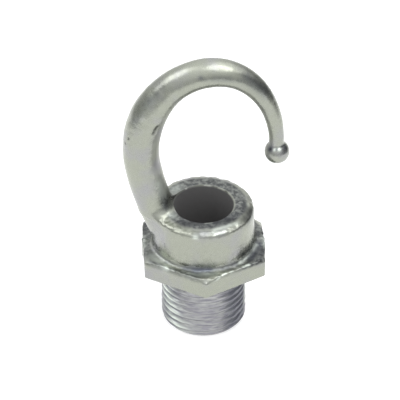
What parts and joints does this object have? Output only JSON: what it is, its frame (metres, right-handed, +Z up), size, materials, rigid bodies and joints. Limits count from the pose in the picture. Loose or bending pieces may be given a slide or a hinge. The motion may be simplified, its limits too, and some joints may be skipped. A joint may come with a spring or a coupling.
{
  "type": "threaded hook",
  "caption": "Plated cast hook with a ball tip, open to one side, on a round collar with a through wire hole, a wrench hexagon and a male pipe-threaded foot.",
  "frame": {"origin": "on the axis of the wire hole, in the plane where the threaded foot ends and on which it stands", "axes": "+Z up the axis of the thread towards the hook, +X towards the hook's ball tip, and the hook's mid-plane is XZ"},
  "size_m": [0.0405, 0.034, 0.0774],
  "materials": {
    "zinc_plate": "bright zinc plate over a rough iron casting, glossy on the hook and mottled on the rim"
  },
  "bodies": {
    "root": {"threaded_hook": "zinc_plate"}
  },
  "joints": []
}
